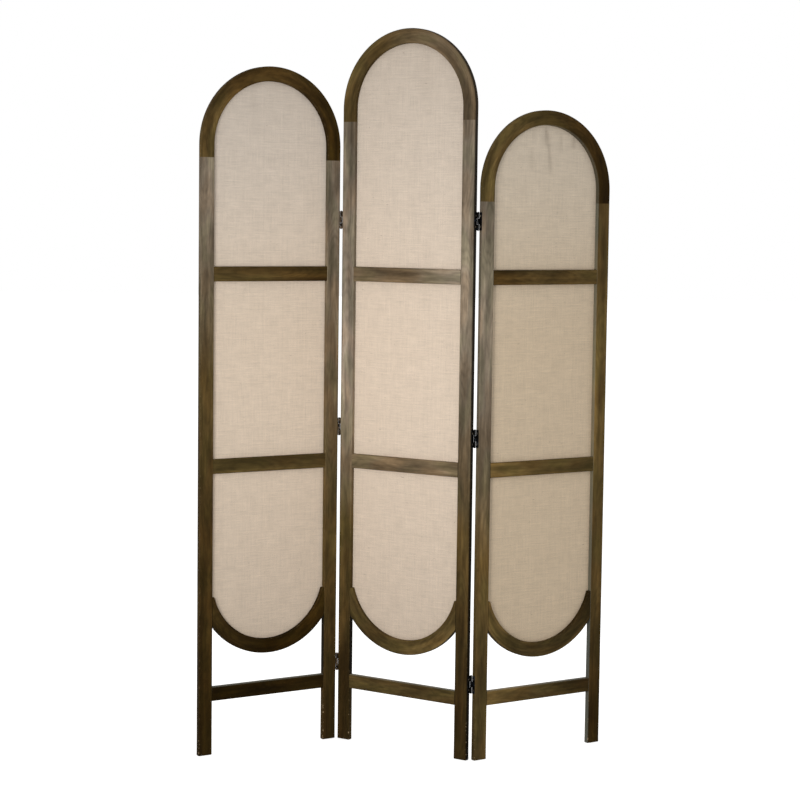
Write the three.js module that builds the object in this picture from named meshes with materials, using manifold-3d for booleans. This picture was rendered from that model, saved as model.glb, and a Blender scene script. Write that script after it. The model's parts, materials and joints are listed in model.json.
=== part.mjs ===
// Folding screen of three arched panels, hinged in a zigzag.
// Each panel is a wooden frame with a fabric field: two stiles, a bent arch head,
// two rails, a U-shaped bottom arc and a stretcher near the floor.
// Millimetres, +Z up. The front of the screen faces -Y.
// A panel is drawn in its own axes: X across it from its left edge, Y from its
// front face to its rear face, Z up from the floor.

import * as THREE from 'three';
import { mergeVertices } from 'three/addons/utils/BufferGeometryUtils.js';
import Module from 'manifold-3d';

const wasm = await Module();
wasm.setup();

// Panels
const PANEL_WIDTH = 390;
const LEFT_HEIGHT = 1703;
const CENTRE_HEIGHT = 1800;
const RIGHT_HEIGHT = 1604;
const FRAME_THICKNESS = 14;
const BAND_WIDTH = 36.5;
const EDGE_RADIUS = 2;
const FOOT_EASING = 2;

// Turn of each panel about the vertical as the screen stands, in degrees
const LEFT_TURN = 32;
const CENTRE_TURN = -33.5;
const RIGHT_TURN = 33;

// Arch head: a half circle as wide as the panel, then a straight leg on each side
const ARCH_LEG = 31;

// Rails in front of the fabric, measured from the floor to their lower edges
const UPPER_RAIL_Z = 1175.5;
const LOWER_RAIL_Z = 702.5;
const RAIL_HEIGHT = 36.5;

// Stretcher near the floor
const STRETCHER_Z = 135;
const STRETCHER_HEIGHT = 36;

// Bottom arc: a half circle that hangs between the stiles, cut level at its tips
const BOTTOM_ARC_CENTRE_Z = 437;
const BOTTOM_ARC_TIP_Z = 395;

// Fabric and the rebate that it lies in, at the rear of the opening
const FABRIC_THICKNESS = 0.8;
const REBATE_DEPTH = 3.5;
const REBATE_WIDTH = 10;
const FABRIC_LAP = 7;

// Stub tenons, and the glue line that every fixed joint keeps
const GLUE_LINE = 0.3;
const TENON_LENGTH = 12;
const TENON_THICKNESS = 4;
const TENON_FRONT = 3.5;
const TENON_SHOULDER = 6;

// Butt hinges: knuckles in front of the left joint and behind the right one
const HINGE_HEIGHT = 44;
const LEAF_WIDTH = 12;
const LEAF_THICKNESS = 1.2;
const LEAF_SEAT = 0.3;
const KNUCKLE_RADIUS = 2.5;
const KNUCKLE_GAP = 0.4;
const PIN_RADIUS = 1.2;
const PIN_CLEARANCE = 0.1;
const PIN_PROUD = 0.6;
const PIN_HEAD_RADIUS = 2.1;
const PIN_HEAD_HEIGHT = 1;
const SCREW_HOLE_RADIUS = 1.5;
const COUNTERSINK_RADIUS = 2.6;
const COUNTERSINK_DEPTH = 0.8;
const SCREW_SPACING = 27;
const LEFT_HINGE_HEIGHTS = { low: 200, middle: 806, top: 1329 };
const RIGHT_HINGE_HEIGHTS = { low: 190, middle: 800, top: 1330 };

// Facets
const ARCH_SEGMENTS = 32;
const EDGE_SEGMENTS = 2;
const KNUCKLE_SIDES = 16;
const HOLE_SIDES = 12;

// Sizes that follow
const ARC_RADIUS = PANEL_WIDTH / 2;
const REBATE_FLOOR = FRAME_THICKNESS - REBATE_DEPTH;
const HINGE_GAP = 2 * (KNUCKLE_RADIUS + LEAF_SEAT);
const PIN_OFFSET = HINGE_GAP / 2;
const BORE_RADIUS = PIN_RADIUS + PIN_CLEARANCE;
const KNUCKLE_HEIGHT = (HINGE_HEIGHT - 2 * KNUCKLE_GAP) / 3;
const CUT_MARGIN = 5;

const WOOD = { color: 0x62563f, roughness: 0.72, metalness: 0 };
const ARCH_WOOD = { color: 0x4a3a20, roughness: 0.68, metalness: 0 };
const LOW_WOOD = { color: 0x403118, roughness: 0.7, metalness: 0 };
const LINEN = { color: 0xc7b497, roughness: 0.95, metalness: 0 };
const BRONZED_STEEL = { color: 0x2b241d, roughness: 0.45, metalness: 0.8 };

function toSolid(geometry) {
  const bare = geometry.clone();
  bare.deleteAttribute('normal');
  bare.deleteAttribute('uv');
  const merged = mergeVertices(bare, 1e-4);
  const mesh = new wasm.Mesh({
    numProp: 3,
    vertProperties: new Float32Array(merged.attributes.position.array),
    triVerts: new Uint32Array(merged.index.array),
  });
  return new wasm.Manifold(mesh);
}

function toGeometry(solid) {
  const mesh = solid.getMesh();
  const geometry = new THREE.BufferGeometry();
  geometry.setAttribute('position', new THREE.BufferAttribute(mesh.vertProperties, 3));
  geometry.setIndex(new THREE.BufferAttribute(mesh.triVerts, 1));
  geometry.computeVertexNormals();
  return geometry;
}

function block(x, y, z) {
  const geometry = new THREE.BoxGeometry(Math.abs(x[1] - x[0]), y[1] - y[0], z[1] - z[0]);
  geometry.translate((x[0] + x[1]) / 2, (y[0] + y[1]) / 2, (z[0] + z[1]) / 2);
  return toSolid(geometry);
}

// Outline of a bar: width along x, thickness along y, with its corners eased.
function easedOutline(width, thickness) {
  const corners = [
    [EDGE_RADIUS, EDGE_RADIUS, Math.PI],
    [width - EDGE_RADIUS, EDGE_RADIUS, 1.5 * Math.PI],
    [width - EDGE_RADIUS, thickness - EDGE_RADIUS, 0],
    [EDGE_RADIUS, thickness - EDGE_RADIUS, 0.5 * Math.PI],
  ];
  const points = [];
  for (const [x, y, start] of corners) {
    for (let i = 0; i <= EDGE_SEGMENTS; i += 1) {
      const angle = start + (i / EDGE_SEGMENTS) * 0.5 * Math.PI;
      const offset = new THREE.Vector2(Math.cos(angle), Math.sin(angle));
      points.push(new THREE.Vector2(x, y).addScaledVector(offset, EDGE_RADIUS));
    }
  }
  return points;
}

// The same outline with the rebate cut from its inner rear corner.
function rebatedOutline() {
  const points = easedOutline(BAND_WIDTH, FRAME_THICKNESS);
  const cornerSize = EDGE_SEGMENTS + 1;
  const rebate = [
    new THREE.Vector2(BAND_WIDTH, REBATE_FLOOR),
    new THREE.Vector2(BAND_WIDTH - REBATE_WIDTH, REBATE_FLOOR),
    new THREE.Vector2(BAND_WIDTH - REBATE_WIDTH, FRAME_THICKNESS),
  ];
  points.splice(2 * cornerSize, cornerSize, ...rebate);
  return points;
}

// Carries an outline along stations. A station gives the outline's origin, the way
// that its width runs, and how much it is drawn in on every side.
function sweep(outline, stations) {
  const box = new THREE.Box2().setFromPoints(outline);
  const middle = box.getCenter(new THREE.Vector2());
  const size = box.getSize(new THREE.Vector2());
  const positions = [];
  for (const { x, z, acrossX, acrossZ, easing = 0 } of stations) {
    for (const point of outline) {
      const width = middle.x + (point.x - middle.x) * (1 - (2 * easing) / size.x);
      const depth = middle.y + (point.y - middle.y) * (1 - (2 * easing) / size.y);
      positions.push(x + acrossX * width, depth, z + acrossZ * width);
    }
  }
  const count = outline.length;
  const last = (stations.length - 1) * count;
  const index = [];
  for (let ring = 0; ring < last; ring += count) {
    for (let i = 0; i < count; i += 1) {
      const next = (i + 1) % count;
      index.push(ring + i, ring + next, ring + count + next);
      index.push(ring + i, ring + count + next, ring + count + i);
    }
  }
  for (const [a, b, c] of THREE.ShapeUtils.triangulateShape(outline, [])) {
    index.push(a, c, b);
    index.push(last + a, last + b, last + c);
  }
  const geometry = new THREE.BufferGeometry();
  geometry.setAttribute('position', new THREE.Float32BufferAttribute(positions, 3));
  geometry.setIndex(index);
  return toSolid(geometry);
}

// Stations along a half circle, clockwise from startAngle as seen from the front.
function halfCircle(centreZ, startAngle) {
  const stations = [];
  for (let i = 0; i <= ARCH_SEGMENTS; i += 1) {
    const angle = startAngle - (i / ARCH_SEGMENTS) * Math.PI;
    const outX = Math.cos(angle);
    const outZ = Math.sin(angle);
    stations.push({
      x: ARC_RADIUS + ARC_RADIUS * outX,
      z: centreZ + ARC_RADIUS * outZ,
      acrossX: -outX,
      acrossZ: -outZ,
    });
  }
  return stations;
}

function tenonSpan(low, height) {
  return [low + TENON_SHOULDER, low + height - TENON_SHOULDER];
}

const UPPER_TENON = tenonSpan(UPPER_RAIL_Z, RAIL_HEIGHT);
const LOWER_TENON = tenonSpan(LOWER_RAIL_Z, RAIL_HEIGHT);
const STRETCHER_TENON = tenonSpan(STRETCHER_Z, STRETCHER_HEIGHT);
const TENON_DEPTHS = [TENON_FRONT, TENON_FRONT + TENON_THICKNESS];
const MORTISE_DEPTHS = [TENON_DEPTHS[0] - GLUE_LINE, TENON_DEPTHS[1] + GLUE_LINE];

// Where the bottom arc's outer edge leaves the stile, and the tenon above that
const INNER_HALF = ARC_RADIUS - BAND_WIDTH;
const ARC_RISE = Math.sqrt(ARC_RADIUS ** 2 - INNER_HALF ** 2);
const ARC_FLANK_Z = BOTTOM_ARC_CENTRE_Z - ARC_RISE;
const ARC_TENON = tenonSpan(ARC_FLANK_Z, BOTTOM_ARC_TIP_Z - ARC_FLANK_Z);

// The leg tenon stands in the band's width, clear of the rebate
const LEG_TENON = [TENON_SHOULDER, BAND_WIDTH - REBATE_WIDTH - TENON_SHOULDER / 2];

// Tenons on both ends of a piece that lies between the stiles.
function addTenons(solid, heights) {
  const left = BAND_WIDTH + GLUE_LINE;
  const right = PANEL_WIDTH - left;
  return solid
    .add(block([left - TENON_LENGTH, left + 1], TENON_DEPTHS, heights))
    .add(block([right - 1, right + TENON_LENGTH], TENON_DEPTHS, heights));
}

function makeStile(height, side) {
  const top = height - ARC_RADIUS - ARCH_LEG - GLUE_LINE;
  const edge = side > 0 ? 0 : PANEL_WIDTH;
  const across = { x: edge, acrossX: side, acrossZ: 0 };
  const stations = [
    { ...across, z: 0, easing: FOOT_EASING },
    { ...across, z: FOOT_EASING },
    { ...across, z: top },
  ];
  if (side < 0) stations.reverse();
  const inner = edge + side * BAND_WIDTH;
  const past = inner + side * CUT_MARGIN;
  const rebate = block(
    [inner - side * REBATE_WIDTH, past],
    [REBATE_FLOOR, FRAME_THICKNESS + CUT_MARGIN],
    [BOTTOM_ARC_TIP_Z - REBATE_WIDTH - FABRIC_LAP, top + CUT_MARGIN],
  );
  let stile = sweep(easedOutline(BAND_WIDTH, FRAME_THICKNESS), stations).subtract(rebate);
  for (const [low, high] of [UPPER_TENON, LOWER_TENON, ARC_TENON, STRETCHER_TENON]) {
    const mortise = block(
      [inner - side * TENON_LENGTH, past],
      MORTISE_DEPTHS,
      [low - GLUE_LINE, high + GLUE_LINE],
    );
    stile = stile.subtract(mortise);
  }
  const socket = block(
    [edge + side * (LEG_TENON[0] - GLUE_LINE), edge + side * (LEG_TENON[1] + GLUE_LINE)],
    MORTISE_DEPTHS,
    [top - TENON_LENGTH, top + CUT_MARGIN],
  );
  return toGeometry(stile.subtract(socket));
}

function makeArchHead(height) {
  const springing = height - ARC_RADIUS;
  const legEnd = springing - ARCH_LEG;
  const stations = [
    { x: 0, z: legEnd, acrossX: 1, acrossZ: 0 },
    ...halfCircle(springing, Math.PI),
    { x: PANEL_WIDTH, z: legEnd, acrossX: -1, acrossZ: 0 },
  ];
  let arch = sweep(rebatedOutline(), stations);
  for (const [edge, side] of [[0, 1], [PANEL_WIDTH, -1]]) {
    const tenon = block(
      [edge + side * LEG_TENON[0], edge + side * LEG_TENON[1]],
      TENON_DEPTHS,
      [legEnd - TENON_LENGTH, legEnd + 1],
    );
    arch = arch.add(tenon);
  }
  return toGeometry(arch);
}

function makeBottomArc() {
  const band = sweep(rebatedOutline(), halfCircle(BOTTOM_ARC_CENTRE_Z, 0));
  const between = block(
    [BAND_WIDTH + GLUE_LINE, PANEL_WIDTH - BAND_WIDTH - GLUE_LINE],
    [-CUT_MARGIN, FRAME_THICKNESS + CUT_MARGIN],
    [BOTTOM_ARC_CENTRE_Z - ARC_RADIUS - CUT_MARGIN, BOTTOM_ARC_TIP_Z],
  );
  return toGeometry(addTenons(band.intersect(between), ARC_TENON));
}

function makeBar(low, height, thickness, tenon) {
  const left = BAND_WIDTH + GLUE_LINE;
  const across = { z: low + height, acrossX: 0, acrossZ: -1 };
  const stations = [
    { ...across, x: left },
    { ...across, x: PANEL_WIDTH - left },
  ];
  return toGeometry(addTenons(sweep(easedOutline(height, thickness), stations), tenon));
}

function makeFabric(height) {
  const radius = INNER_HALF + FABRIC_LAP;
  const outline = new THREE.Shape();
  outline.absarc(ARC_RADIUS, height - ARC_RADIUS, radius, 0, Math.PI, false);
  outline.absarc(ARC_RADIUS, BOTTOM_ARC_CENTRE_Z, radius, Math.PI, 2 * Math.PI, false);
  outline.closePath();
  const sheet = new THREE.ExtrudeGeometry(outline, {
    depth: FABRIC_THICKNESS,
    bevelEnabled: false,
    curveSegments: ARCH_SEGMENTS,
  });
  sheet.rotateX(Math.PI / 2);
  sheet.translate(0, REBATE_FLOOR + GLUE_LINE + FABRIC_THICKNESS, 0);
  return toGeometry(toSolid(sheet));
}

// A round rod along Z with one radius from low to high.
function rod(radius, low, high, sides) {
  const geometry = new THREE.CylinderGeometry(radius, radius, high - low, sides);
  geometry.rotateX(Math.PI / 2);
  geometry.translate(0, 0, (low + high) / 2);
  return toSolid(geometry);
}

// Cutter for a countersunk screw hole along X, with its head at headX.
function countersink(headX, y, z) {
  const deep = headX + COUNTERSINK_DEPTH;
  const profile = [
    new THREE.Vector2(0, headX - CUT_MARGIN),
    new THREE.Vector2(COUNTERSINK_RADIUS, headX - CUT_MARGIN),
    new THREE.Vector2(COUNTERSINK_RADIUS, headX),
    new THREE.Vector2(SCREW_HOLE_RADIUS, deep),
    new THREE.Vector2(SCREW_HOLE_RADIUS, deep + CUT_MARGIN),
    new THREE.Vector2(0, deep + CUT_MARGIN),
  ];
  const geometry = new THREE.LatheGeometry(profile, HOLE_SIDES);
  geometry.rotateZ(-Math.PI / 2);
  geometry.translate(0, y, z);
  return toSolid(geometry);
}

// A hinge leaf in the hinge's own axes: the pin stands on Z, the leaf's plate lies
// on the +X side and runs along +Y. Knuckles are numbered 0 to 2 from below.
function makeLeaf(ownKnuckles) {
  const outer = KNUCKLE_RADIUS;
  const inner = outer - LEAF_THICKNESS;
  const end = PIN_PROUD + LEAF_WIDTH;
  const half = HINGE_HEIGHT / 2;
  let leaf = block([inner, outer], [0, end], [-half, half]);
  for (const number of [0, 1, 2]) {
    const low = -half + number * (KNUCKLE_HEIGHT + KNUCKLE_GAP);
    const high = low + KNUCKLE_HEIGHT;
    if (ownKnuckles.includes(number)) {
      leaf = leaf.add(rod(KNUCKLE_RADIUS, low, high, KNUCKLE_SIDES));
    } else {
      const clear = [low - KNUCKLE_GAP, high + KNUCKLE_GAP];
      const notch = [-CUT_MARGIN, KNUCKLE_RADIUS + KNUCKLE_GAP];
      leaf = leaf.subtract(block([0, outer + CUT_MARGIN], notch, clear));
    }
  }
  leaf = leaf.subtract(rod(BORE_RADIUS, -half - CUT_MARGIN, half + CUT_MARGIN, KNUCKLE_SIDES));
  const holeY = (KNUCKLE_RADIUS + end) / 2;
  for (const z of [-SCREW_SPACING / 2, SCREW_SPACING / 2]) {
    leaf = leaf.subtract(countersink(inner, holeY, z));
  }
  return toGeometry(leaf);
}

function makePin() {
  const half = HINGE_HEIGHT / 2 + LEAF_SEAT;
  const tip = half + PIN_HEAD_HEIGHT;
  const profile = [
    new THREE.Vector2(0, -tip),
    new THREE.Vector2(PIN_HEAD_RADIUS, -tip),
    new THREE.Vector2(PIN_HEAD_RADIUS, -half),
    new THREE.Vector2(PIN_RADIUS, -half),
    new THREE.Vector2(PIN_RADIUS, half),
    new THREE.Vector2(PIN_HEAD_RADIUS, half),
    new THREE.Vector2(PIN_HEAD_RADIUS, tip),
    new THREE.Vector2(0, tip),
  ];
  const geometry = new THREE.LatheGeometry(profile, KNUCKLE_SIDES);
  geometry.rotateX(Math.PI / 2);
  return toGeometry(toSolid(geometry));
}

function piece(name, geometry, look) {
  const mesh = new THREE.Mesh(geometry, new THREE.MeshStandardMaterial(look));
  mesh.name = name;
  return mesh;
}

function makePanel(name, height) {
  const panel = new THREE.Group();
  panel.add(
    piece(`${name}_stile_left`, makeStile(height, 1), WOOD),
    piece(`${name}_stile_right`, makeStile(height, -1), WOOD),
    piece(`${name}_arch_head`, makeArchHead(height), ARCH_WOOD),
    piece(`${name}_upper_rail`, makeBar(UPPER_RAIL_Z, RAIL_HEIGHT, REBATE_FLOOR, UPPER_TENON), WOOD),
    piece(`${name}_lower_rail`, makeBar(LOWER_RAIL_Z, RAIL_HEIGHT, REBATE_FLOOR, LOWER_TENON), WOOD),
    piece(`${name}_bottom_arc`, makeBottomArc(), LOW_WOOD),
    piece(
      `${name}_stretcher`,
      makeBar(STRETCHER_Z, STRETCHER_HEIGHT, FRAME_THICKNESS, STRETCHER_TENON),
      LOW_WOOD,
    ),
    piece(`${name}_fabric`, makeFabric(height), LINEN),
  );
  return panel;
}

// Hangs the leaves and the pin of each hinge on one joint. The pin stays with the
// centre panel. Which way a leaf faces follows from a half turn about one axis.
function addHinges(name, heights, centre, side, pins, turns) {
  for (const [level, z] of Object.entries(heights)) {
    const centreLeaf = piece(`${name}_${level}_leaf_centre`, makeLeaf([0, 2]), BRONZED_STEEL);
    const sideLeaf = piece(`${name}_${level}_leaf_side`, makeLeaf([1]), BRONZED_STEEL);
    const pin = piece(`${name}_${level}_pin`, makePin(), BRONZED_STEEL);
    centreLeaf.position.set(pins.centre.x, pins.centre.y, z);
    centreLeaf.rotation.copy(turns.centre);
    sideLeaf.position.set(pins.side.x, pins.side.y, z);
    sideLeaf.rotation.copy(turns.side);
    pin.position.copy(centreLeaf.position);
    centre.add(centreLeaf, pin);
    side.add(sideLeaf);
  }
}

// Places a panel so that its own pin line stands on the centre panel's pin line.
function hangPanel(panel, turn, ownPin, centre, centrePin) {
  panel.rotation.z = THREE.MathUtils.degToRad(turn);
  const stand = centrePin.clone().applyEuler(centre.rotation).add(centre.position);
  panel.position.copy(stand.sub(ownPin.clone().applyEuler(panel.rotation)));
}

const leftPanel = makePanel('left_panel', LEFT_HEIGHT);
const centrePanel = makePanel('centre_panel', CENTRE_HEIGHT);
const rightPanel = makePanel('right_panel', RIGHT_HEIGHT);

// Pin lines in each panel's own axes
const frontPin = -PIN_PROUD;
const rearPin = FRAME_THICKNESS + PIN_PROUD;
const leftJoint = {
  centre: new THREE.Vector3(-PIN_OFFSET, frontPin, 0),
  side: new THREE.Vector3(PANEL_WIDTH + PIN_OFFSET, frontPin, 0),
};
const rightJoint = {
  centre: new THREE.Vector3(PANEL_WIDTH + PIN_OFFSET, rearPin, 0),
  side: new THREE.Vector3(-PIN_OFFSET, rearPin, 0),
};

addHinges('left_hinge', LEFT_HINGE_HEIGHTS, centrePanel, leftPanel, leftJoint, {
  centre: new THREE.Euler(0, 0, 0),
  side: new THREE.Euler(0, Math.PI, 0),
});
addHinges('right_hinge', RIGHT_HINGE_HEIGHTS, centrePanel, rightPanel, rightJoint, {
  centre: new THREE.Euler(0, 0, Math.PI),
  side: new THREE.Euler(Math.PI, 0, 0),
});

centrePanel.rotation.z = THREE.MathUtils.degToRad(CENTRE_TURN);
hangPanel(leftPanel, LEFT_TURN, leftJoint.side, centrePanel, leftJoint.centre);
hangPanel(rightPanel, RIGHT_TURN, rightJoint.side, centrePanel, rightJoint.centre);

// The origin lies on the floor under the middle of the screen.
const group = new THREE.Group();
group.add(leftPanel, centrePanel, rightPanel);
const middle = new THREE.Box3().setFromObject(group, true).getCenter(new THREE.Vector3());
group.position.set(-middle.x, -middle.y, 0);
group.updateMatrixWorld(true);

export default group;
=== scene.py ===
"""Finished looks of a folding screen: three arched panels of stained wood and stretched linen.

Lengths are in metres, +Z is up and the front of the screen faces -Y. A panel is drawn in its
own axes (X across from its left edge, Y from front to rear, Z up from the floor) and is then
stood where its hinges hold it. Every finished piece keeps its place in its mesh.
"""

import json
import math
from dataclasses import dataclass

import bmesh
import bpy
from mathutils import Matrix, Vector, noise


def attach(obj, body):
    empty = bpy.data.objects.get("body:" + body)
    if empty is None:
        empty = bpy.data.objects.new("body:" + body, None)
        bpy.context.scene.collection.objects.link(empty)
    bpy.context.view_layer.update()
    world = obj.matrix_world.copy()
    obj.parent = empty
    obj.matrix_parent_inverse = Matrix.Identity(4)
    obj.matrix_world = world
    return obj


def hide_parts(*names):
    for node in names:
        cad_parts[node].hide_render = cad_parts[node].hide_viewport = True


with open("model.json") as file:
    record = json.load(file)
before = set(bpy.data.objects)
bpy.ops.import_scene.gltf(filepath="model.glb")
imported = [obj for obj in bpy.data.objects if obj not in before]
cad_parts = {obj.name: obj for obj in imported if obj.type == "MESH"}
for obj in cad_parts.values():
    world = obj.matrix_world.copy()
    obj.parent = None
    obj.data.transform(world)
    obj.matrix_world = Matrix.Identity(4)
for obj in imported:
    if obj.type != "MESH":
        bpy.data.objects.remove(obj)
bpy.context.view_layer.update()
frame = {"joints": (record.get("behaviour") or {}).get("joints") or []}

MM = 0.001

# Frame
PANEL_WIDTH = 390 * MM
THICKNESS = 14 * MM
BAND = 36.5 * MM
ARCH_LEG = 31 * MM
UPPER_RAIL_Z = 1175.5 * MM
LOWER_RAIL_Z = 702.5 * MM
RAIL_HEIGHT = 36.5 * MM
STRETCHER_Z = 135 * MM
STRETCHER_HEIGHT = 36 * MM
BOTTOM_ARC_Z = 437 * MM
BOTTOM_ARC_TIP_Z = 395 * MM
REBATE_DEPTH = 3.5 * MM
REBATE_WIDTH = 10 * MM
REBATE_END_SLOPE = 0.3 * MM
EDGE_RADIUS = 2 * MM
FOOT_EASING = 2 * MM
ARC_RADIUS = PANEL_WIDTH / 2
REBATE_FLOOR = THICKNESS - REBATE_DEPTH

# Cloth
CLOTH_LAP = 7 * MM
CLOTH_FRONT = REBATE_FLOOR + 0.35 * MM
CLOTH_THICKNESS = 0.7 * MM
CLOTH_HALF_WIDTH = ARC_RADIUS - BAND + CLOTH_LAP

# Hinges
HINGE_HEIGHTS = {
    "left": {"low": 200 * MM, "middle": 806 * MM, "top": 1329 * MM},
    "right": {"low": 190 * MM, "middle": 800 * MM, "top": 1330 * MM},
}
HINGE_HEIGHT = 44 * MM
KNUCKLE_RADIUS = 2.5 * MM
KNUCKLE_GAP = 0.4 * MM
KNUCKLE_HEIGHT = (HINGE_HEIGHT - 2 * KNUCKLE_GAP) / 3
LEAF_THICKNESS = 1.2 * MM
LEAF_FACE = KNUCKLE_RADIUS - LEAF_THICKNESS
LEAF_END = 12.6 * MM
LEAF_CORNER = 1.6 * MM
LEAF_SEAT = 0.3 * MM
PIN_RADIUS = 1.2 * MM
PIN_HEAD_RADIUS = 2.1 * MM
PIN_HEAD_HEIGHT = 1 * MM
PIN_PROUD = 0.6 * MM
PIN_OFFSET = KNUCKLE_RADIUS + LEAF_SEAT

# Screws
SCREW_SPACING = 27 * MM
SCREW_ROW = (KNUCKLE_RADIUS + LEAF_END) / 2
SCREW_HOLE_RADIUS = 1.5 * MM
SINK_RADIUS = 2.6 * MM
SINK_DEPTH = 0.8 * MM
SCREW_SUNK = 0.06 * MM

# Facets
CORNER_FACETS = 4
FOOT_FACETS = 4
SHARP_ANGLE = math.radians(40)
FILED_ANGLE = math.radians(35)
FLAT_HOLD = 0.4 * MM
BAR_STATION = 18 * MM
ARC_STATION = 6 * MM
SAME_PLACE = 1e-7


class Panel:
    """One leaf of the screen: its height, its turn about the vertical and its left front corner."""

    def __init__(self, name, height, turn):
        self.name = name
        self.body = f"{name}_panel"
        self.height = height
        self.turn = Matrix.Rotation(math.radians(turn), 4, "Z")
        self.place = self.turn

    def hang(self, own_pin, pin_line):
        """Stands the panel so that own_pin, in its own axes, lies on the joint's pin line."""
        corner = Vector((pin_line.x, pin_line.y, 0)) - self.turn @ own_pin
        self.place = Matrix.Translation(corner) @ self.turn


LEFT = Panel("left", 1703 * MM, 32)
CENTRE = Panel("centre", 1800 * MM, -33.5)
RIGHT = Panel("right", 1604 * MM, 33)
PANELS = (LEFT, CENTRE, RIGHT)

PIN_LINES = {joint["name"]: Vector(joint["pos_m"]) for joint in frame["joints"]}
FRONT_LEFT_PIN = Vector((-PIN_OFFSET, -PIN_PROUD, 0))
FRONT_RIGHT_PIN = Vector((PANEL_WIDTH + PIN_OFFSET, -PIN_PROUD, 0))
REAR_LEFT_PIN = Vector((-PIN_OFFSET, THICKNESS + PIN_PROUD, 0))
REAR_RIGHT_PIN = Vector((PANEL_WIDTH + PIN_OFFSET, THICKNESS + PIN_PROUD, 0))
CENTRE.hang(FRONT_LEFT_PIN, PIN_LINES["left_fold"])
LEFT.hang(FRONT_RIGHT_PIN, PIN_LINES["left_fold"])
RIGHT.hang(REAR_LEFT_PIN, PIN_LINES["right_fold"])


def srgb(*channels):
    """A colour given as 0 to 255 on the screen, as the linear colour that a shader takes."""
    shares = [channel / 255 for channel in channels]
    return (*(s / 12.92 if s <= 0.04045 else ((s + 0.055) / 1.055) ** 2.4 for s in shares), 1.0)


# ---- node arithmetic


def arithmetic(operation, swapped=False):
    """A method that joins a node's output and a value in one Math node."""
    if swapped:
        return lambda self, other: self.tree.maths(operation, other, self)
    return lambda self, other: self.tree.maths(operation, self, other)


class Socket:
    """One output of a node, which plain arithmetic turns into Math nodes."""

    def __init__(self, tree, output):
        self.tree = tree
        self.output = output

    __add__ = __radd__ = arithmetic("ADD")
    __mul__ = __rmul__ = arithmetic("MULTIPLY")
    __sub__ = arithmetic("SUBTRACT")
    __rsub__ = arithmetic("SUBTRACT", swapped=True)
    __truediv__ = arithmetic("DIVIDE")
    __mod__ = arithmetic("FLOORED_MODULO")
    __pow__ = arithmetic("POWER")
    __rpow__ = arithmetic("POWER", swapped=True)
    __gt__ = arithmetic("GREATER_THAN")


class Tree:
    """A node tree that is written as expressions."""

    def __init__(self, node_tree):
        self.nodes = node_tree.nodes
        self.links = node_tree.links

    def node(self, kind, sockets=None, output=0, **settings):
        """Adds a node, sets or links its sockets and returns one of its outputs."""
        node = self.nodes.new(kind)
        for name, value in settings.items():
            setattr(node, name, value)
        for name, value in (sockets or {}).items():
            if isinstance(value, Socket):
                self.links.new(value.output, node.inputs[name])
            else:
                node.inputs[name].default_value = value
        if node.outputs:
            return Socket(self, node.outputs[output])

    def shade(self, kind, *sockets, **settings):
        return self.node("ShaderNode" + kind, *sockets, **settings)

    def grow(self, kind, *sockets, **settings):
        return self.node("GeometryNode" + kind, *sockets, **settings)

    def also(self, socket, output):
        """Another output of the node that a socket belongs to."""
        return Socket(self, socket.output.node.outputs[output])

    def maths(self, operation, *values):
        return self.shade("Math", dict(enumerate(values)), operation=operation)

    def sine(self, angle):
        return self.maths("SINE", angle)

    def cosine(self, angle):
        return self.maths("COSINE", angle)

    def floor(self, value):
        return self.maths("FLOOR", value)

    def larger(self, a, b):
        return self.maths("MAXIMUM", a, b)

    def between(self, value, low, high):
        return self.maths("MINIMUM", self.larger(value, low), high)

    def vector(self, x, y, z):
        return self.shade("CombineXYZ", {0: x, 1: y, 2: z})

    def hand_over(self, geometry, material):
        """Ends a geometry tree: its instances become mesh and take their material."""
        whole = self.grow("RealizeInstances", {0: geometry})
        finished = self.grow("SetMaterial", {"Geometry": whole, "Material": material})
        self.node("NodeGroupOutput", {0: finished})


def new_group(name, sizes, seeded=False):
    """A geometry tree with named inputs, and a function that gives an input by its name."""
    group = bpy.data.node_groups.new(name, "GeometryNodeTree")
    inputs = [("Base", "Geometry"), *((size, "Float") for size in sizes), ("Finish", "Material")]
    if seeded:
        inputs.append(("Seed", "Int"))
    for title, kind in inputs:
        group.interface.new_socket(title, in_out="INPUT", socket_type="NodeSocket" + kind)
    group.interface.new_socket("Made", in_out="OUTPUT", socket_type="NodeSocketGeometry")
    tree = Tree(group)
    base = tree.node("NodeGroupInput")
    return group, tree, lambda name: tree.also(base, name)


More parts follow.
